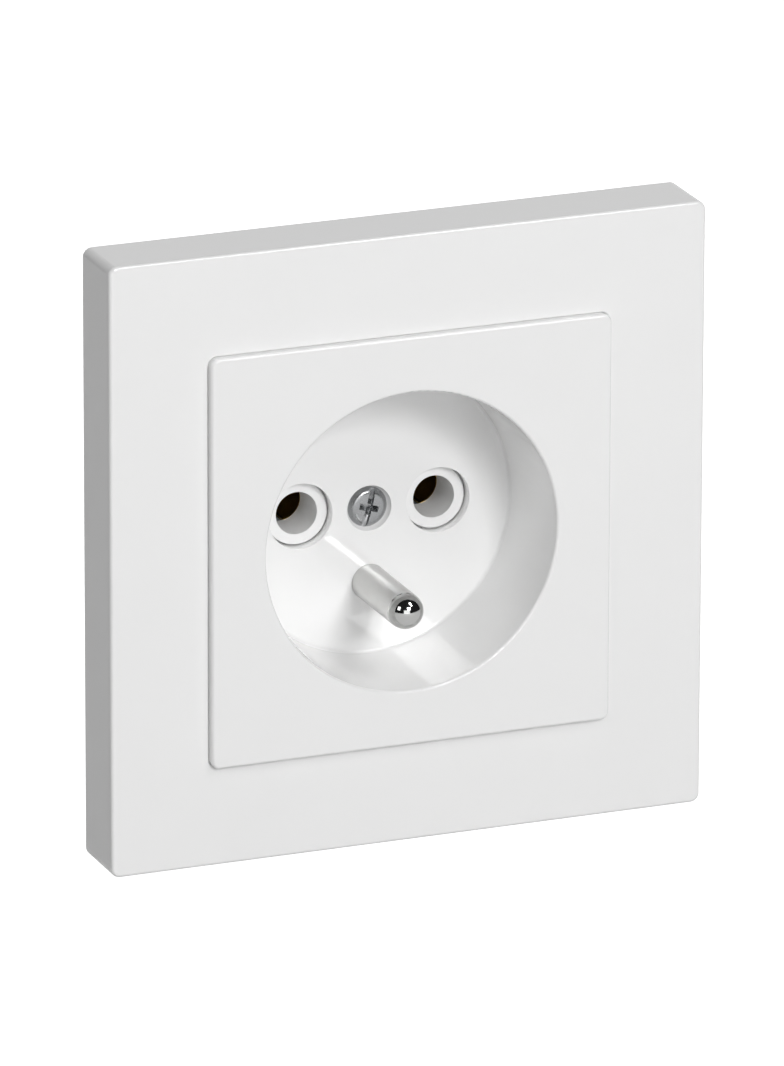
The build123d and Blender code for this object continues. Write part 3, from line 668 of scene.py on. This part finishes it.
class SOCKET_OT_pin(Operator):
    """Build the earth pin with its round end."""

    bl_idname = "socket.pin"
    bl_label = "Earth Pin"

    def execute(self, context):
        tip = PIN_LOW.y / MM
        radius = 2.4
        dome = arc((0, tip + radius), radius, -90, 0, 24)
        dome[0] = (0, tip)
        bm = bmesh.new()
        turned(bm, dome + [
            (radius, 4.36), (radius - 0.04, 4.4), (2.0, 4.4), (2.0, 8.5),
            (3.35, 8.5), (3.4, 8.55), (3.4, 9.45), (3.35, 9.5), (1.7, 9.5), (1.7, 10.4),
            (2.8, 10.4), (2.9, 10.5), (2.9, 10.8), (2.6, 11.05), (2.2, 11.1), (0, 11.1),
        ], 96)
        bm.transform(Matrix.Translation((0, 0, (PIN_LOW.z + PIN_HIGH.z) / 2)))
        mesh = mesh_of("pin_nickel", bm)
        # The round end takes the darker nickel, which is painted shade, and the body the plain
        # nickel.
        dressed("pin_nickel", mesh, paint("nickel_dome_painted_shade"), "socket", "nickel", "earth_pin")
        mesh.materials.append(paint("nickel_body"))
        for face in mesh.polygons:
            face.material_index = int(face.center.y > (tip + radius) * MM)
        return {"FINISHED"}


class SOCKET_OT_insert(Operator):
    """Build the insert: its two mouldings, the steel ring and the stamped parts."""

    bl_idname = "socket.insert"
    bl_label = "Insert"

    def execute(self, context):
        for node, piece, width, material, slot, body in (
            ("rear_cover", "rear_moulding", 0.15, "insert_grey", "rear_grey", "socket"),
            ("support_ring", "ring_stamping", 0.08, "zinc_steel", "zinc_steel", "socket"),
            ("cover_nut", "nut_square", 0.1, "zinc_steel", "zinc_steel", "socket"),
            ("earth_strap", "strap_brass", 0.06, "stamped_brass", "brass", "socket"),
            ("contact_spring_left", "clip_left", 0.05, "spring_steel", "spring_steel", "socket"),
            ("contact_spring_right", "clip_right", 0.05, "spring_steel", "spring_steel", "socket"),
            ("terminal_clamp_left", "cage_left", 0.08, "stamped_brass", "brass", "socket"),
            ("terminal_clamp_right", "cage_right", 0.08, "stamped_brass", "brass", "socket"),
            ("terminal_clamp_earth", "cage_earth", 0.08, "stamped_brass", "brass", "socket"),
            ("claw_left", "grip_left", 0.08, "zinc_steel", "zinc_steel", "claw_left"),
            ("claw_right", "grip_right", 0.08, "zinc_steel", "zinc_steel", "claw_right"),
            ("claw_nut_left", "barrel_left", 0.1, "zinc_steel", "zinc_steel", "claw_nut_left"),
            ("claw_nut_right", "barrel_right", 0.1, "zinc_steel", "zinc_steel", "claw_nut_right"),
        ):
            dressed(piece, eased(piece, node, width * MM), paint(material), body, slot, node)
        # The sleeves take the darker brass, which is painted shade in the deep holes.
        white, brass = paint("insert_white"), paint("sleeve_brass_painted_shade")
        mouths = [(x, 0, 2.7, 3.3, 6.2, 2.85, 5.8) for x in (-HOLE_X, HOLE_X)]
        mesh = eased("carrier_moulding", "contact_carrier", 0.1 * MM, mouths)
        dressed("carrier_moulding", mesh, white, "socket", "carrier_white", "contact_carrier")
        for side, x in (("left", -HOLE_X), ("right", HOLE_X)):
            node, piece = "live_contact_" + side, "sleeve_" + side
            funnel = (x, 0, 2.4, 2.5, 12.0, 2.82, 11.8)
            mesh = eased(piece, node, 0.04 * MM, [funnel])
            dressed(piece, mesh, brass, "socket", "brass", node)
        return {"FINISHED"}


class SOCKET_OT_fasteners(Operator):
    """Build the rivets and screws that come in sets."""

    bl_idname = "socket.fasteners"
    bl_label = "Fasteners"

    def execute(self, context):
        zinc = paint("zinc_steel")
        bm = bmesh.new()
        front = [
            (0, -1.8), (1.2, -1.76), (1.9, -1.6), (2.4, -1.36), (2.66, -1.12), (2.7, -1.0),
            (1.6, -1.0),
        ]
        back = [
            (1.6, 3.0), (2.7, 3.0), (2.66, 3.12), (2.4, 3.36), (1.9, 3.6), (1.2, 3.76), (0, 3.8),
        ]
        turned(bm, front + back, 40)
        corners = [(x, z) for x in (-RIVET_REACH, RIVET_REACH) for z in (-RIVET_REACH, RIVET_REACH)]
        places = [((x, 0, z), (0, 0, 0)) for x, z in corners]
        self.set_out("rivets_zinc", mesh_of("rivet", bm), places, zinc, "ring_rivets")

        head = [(0, 0), (2.3, 0), (2.4, 0.08), (2.36, 0.16), (1.3, 1.35), (1.1, 2.0), (0, 2.0)]
        recess = crossed(0.42, 1.6, -0.3, 0.7)
        mesh = screw_mesh("housing_screw", head, recess, 0.04 * MM, 1.3, 1.3, 18.0)
        places = [((x, HOUSING_SCREW_Y, z), (180, 0, 0)) for x, z in HOUSING_SCREWS]
        self.set_out("housing_zinc", mesh, places, zinc, "housing_screws")

        head = [
            (0, 0), (2.4, 0), (2.54, 0.06), (2.6, 0.2), (2.6, 1.5), (2.5, 1.6), (1.5, 1.6),
            (1.4, 2.0), (0, 2.0),
        ]
        slot = turned_cutter(wedge_cutter(0.4, 3.0, -0.3, 0.8, 0.9), 0)
        mesh = screw_mesh("terminal_screw", head, [slot], 0.05 * MM, 1.6, 1.5, 6.4)
        places = [((x, TERMINAL_Y, TERMINAL_REACH), (-90, 0, 0)) for x in (-HOLE_X, HOLE_X)]
        places.append(((0, TERMINAL_Y, -TERMINAL_REACH), (90, 0, 0)))
        self.set_out("terminal_zinc", mesh, places, zinc, "terminal_screws")

        head = [
            (0, 0), (2.3, 0), (2.58, 0.1), (2.7, 0.34), (2.7, 1.7), (2.6, 1.8), (1.4, 1.8),
            (1.4, 2.6), (0, 2.6),
        ]
        recess = crossed(0.42, 1.9, -0.3, 0.9)
        mesh = screw_mesh("claw_screw", head, recess, 0.05 * MM, 1.5, 1.7, 27.3)
        places = [((x, CLAW_SCREW_Y, 0), (0, 0, 0)) for x in (-CLAW_SCREW_X, CLAW_SCREW_X)]
        self.set_out("claw_zinc", mesh, places, zinc, "claw_screws")
        return {"FINISHED"}

    def set_out(self, name, mesh, places, material, node):
        """Shows one fastener at each of its places."""
        mesh = repeated(name, mesh, places, material)
        dressed(name, mesh, material, "socket", "zinc_steel", node)


# The studio

def area_lamp(name, place, target, width, height, watts):
    """A soft lamp that faces a point and that the camera doesn't see."""
    data = bpy.data.lights.new(name, "AREA")
    data.shape = "RECTANGLE"
    data.size = width
    data.size_y = height
    data.energy = watts
    obj = bpy.data.objects.new(name, data)
    obj.location = place
    obj.rotation_mode = "QUATERNION"
    obj.rotation_quaternion = (Vector(target) - Vector(place)).to_track_quat("-Z", "Y")
    bpy.context.scene.collection.objects.link(obj)
    obj.visible_camera = False


def math_node(tree, operation, first, second):
    """A math node's result. The second input is a link or a number."""
    node = tree.nodes.new("ShaderNodeMath")
    node.operation = operation
    tree.links.new(first, node.inputs[0])
    if isinstance(second, (int, float)):
        node.inputs[1].default_value = second
    else:
        tree.links.new(second, node.inputs[1])
    return node.outputs["Value"]


def seen_share(tree):
    """Which rays see the background: first those of the camera and of glass, then of mirrors."""
    path = tree.nodes.new("ShaderNodeLightPath")
    camera, glass = path.outputs["Is Camera Ray"], path.outputs["Is Transmission Ray"]
    return math_node(tree, "MAXIMUM", camera, glass), path.outputs["Is Glossy Ray"]


def white_backdrop(tree, light):
    """A background that the camera sees as white, and metal too where it lies behind."""
    direct, mirror = seen_share(tree)
    coords = tree.nodes.new("ShaderNodeTexCoord")
    split = tree.nodes.new("ShaderNodeSeparateXYZ")
    tree.links.new(coords.outputs["Generated"], split.inputs["Vector"])
    behind = math_node(tree, "GREATER_THAN", split.outputs["Y"], 0.0)
    seen = math_node(tree, "MAXIMUM", direct, math_node(tree, "MULTIPLY", mirror, behind))
    shown = tree.nodes.new("ShaderNodeBackground")
    shown.inputs["Color"].default_value = WHITE
    even = tree.nodes.new("ShaderNodeBackground")
    even.inputs["Color"].default_value = WHITE
    even.inputs["Strength"].default_value = light
    mix = tree.nodes.new("ShaderNodeMixShader")
    tree.links.new(seen, mix.inputs["Fac"])
    tree.links.new(even.outputs["Background"], mix.inputs[1])
    tree.links.new(shown.outputs["Background"], mix.inputs[2])
    return mix.outputs["Shader"]


class SOCKET_OT_stage(Operator):
    """Set up the floor, the lamps, the world and the camera."""

    bl_idname = "socket.stage"
    bl_label = "Stage"

    def execute(self, context):
        stage = context.scene.socket_stage
        view = context.scene.socket_camera
        self.world(context, stage)
        self.floor(stage)
        self.lamps(stage)
        self.camera(context, view)
        context.scene.view_settings.view_transform = "Standard"
        return {"FINISHED"}

    def world(self, context, stage):
        """A faint even light that shows as white to the camera and stays dark in front."""
        world = bpy.data.worlds.new("studio_world")
        world.use_nodes = True
        tree = world.node_tree
        tree.nodes.clear()
        out = tree.nodes.new("ShaderNodeOutputWorld")
        tree.links.new(white_backdrop(tree, stage.world_light), out.inputs["Surface"])
        context.scene.world = world

    def floor(self, stage):
        """A pale floor under the socket, white to the camera and a shade darker to the metal."""
        bm = bmesh.new()
        bmesh.ops.create_grid(bm, x_segments=1, y_segments=1, size=FLOOR_HALF_WIDTH)
        bmesh.ops.translate(bm, verts=bm.verts, vec=(0, 0, FRAME_LOW.z - stage.floor_drop))
        mesh = bpy.data.meshes.new("studio_floor")
        bm.to_mesh(mesh)
        bm.free()
        obj = linked("studio_floor", mesh)
        material, tree, shader = new_material("floor_white")
        shader.inputs["Base Color"].default_value = FLOOR_GREY
        shader.inputs["Roughness"].default_value = 0.9
        shader.inputs["Emission Color"].default_value = WHITE
        direct, mirror = seen_share(tree)
        dim = math_node(tree, "MULTIPLY", mirror, FLOOR_MIRRORED)
        tree.links.new(math_node(tree, "MAXIMUM", direct, dim), shader.inputs["Emission Strength"])
        mesh.materials.append(material)

    def lamps(self, stage):
        """Lamps in front, above, behind and on the left, and a wide one near the camera."""
        middle = Vector((0, FRAME_LOW.y, 0))
        for name, toward, distance, width, height, watts in (
            ("key", (0.10, -0.88, 0.45), 1.5, 0.45, 0.38, stage.key_light),
            ("high", (0.36, -0.56, 0.74), 1.5, 0.30, 0.62, stage.high_light),
            ("back", (0.00, 0.98, 0.15), 1.5, 0.50, 0.50, stage.back_light),
            ("side", (-0.79, -0.42, 0.43), 1.5, 0.42, 0.52, stage.side_light),
            ("top", (0.50, 0.25, 0.83), 1.2, 0.90, 0.60, stage.top_light),
            ("fill", (-0.15, -0.98, 0.05), 1.8, 1.20, 1.00, stage.fill_light),
        ):
            place = middle + Vector(toward).normalized() * distance
            area_lamp(name, place, middle, width, height, watts)

    def camera(self, context, view):
        """The camera at the photograph's angle."""
        forward = Vector((
            math.sin(view.yaw) * math.cos(view.pitch),
            math.cos(view.yaw) * math.cos(view.pitch),
            -math.sin(view.pitch),
        ))
        level = Vector((math.cos(view.yaw), -math.sin(view.yaw), 0))
        upward = level.cross(forward)
        right = level * math.cos(view.roll) + upward * math.sin(view.roll)
        up = upward * math.cos(view.roll) - level * math.sin(view.roll)
        middle = Vector((0, FRAME_LOW.y, 0))
        data = bpy.data.cameras.new("photo_camera")
        data.sensor_fit = "AUTO"
        data.sensor_width = FILM_WIDTH
        data.lens = view.lens
        data.clip_start = 0.1
        data.clip_end = 20.0
        obj = bpy.data.objects.new("photo_camera", data)
        obj.location = middle - forward * view.distance + right * view.slide + up * view.rise
        obj.rotation_mode = "QUATERNION"
        obj.rotation_quaternion = Matrix((right, up, -forward)).transposed().to_quaternion()
        context.scene.collection.objects.link(obj)
        context.scene.camera = obj


class SOCKET_PT_dresser(Panel):
    """Lists the pieces and their sizes and colours."""

    bl_idname = "SOCKET_PT_dresser"
    bl_label = "Flush Socket"
    bl_space_type = "VIEW_3D"
    bl_region_type = "UI"
    bl_category = "Socket"

    def draw(self, context):
        scene = context.scene
        for group in (scene.socket_finish, scene.socket_stage, scene.socket_camera):
            box = self.layout.box()
            for key in group.bl_rna.properties.keys():
                if key not in ("name", "rna_type"):
                    box.prop(group, key)
        for operator in BUILD_ORDER:
            self.layout.operator(operator.bl_idname)


BUILD_ORDER = (
    SOCKET_OT_materials,
    SOCKET_OT_cover,
    SOCKET_OT_screw,
    SOCKET_OT_pin,
    SOCKET_OT_insert,
    SOCKET_OT_fasteners,
    SOCKET_OT_stage,
)
GROUPS = {"socket_finish": SocketFinish, "socket_camera": SocketCamera, "socket_stage": SocketStage}
CLASSES = (*GROUPS.values(), *BUILD_ORDER, SOCKET_PT_dresser)


def register():
    for cls in CLASSES:
        bpy.utils.register_class(cls)
    for name, group in GROUPS.items():
        setattr(bpy.types.Scene, name, PointerProperty(type=group))


def unregister():
    for name in GROUPS:
        delattr(bpy.types.Scene, name)
    for cls in reversed(CLASSES):
        bpy.utils.unregister_class(cls)


def main():
    """Builds the whole scene."""
    register()
    for operator in BUILD_ORDER:
        group, name = operator.bl_idname.split(".")
        getattr(getattr(bpy.ops, group), name)()


if __name__ == "__main__":
    main()
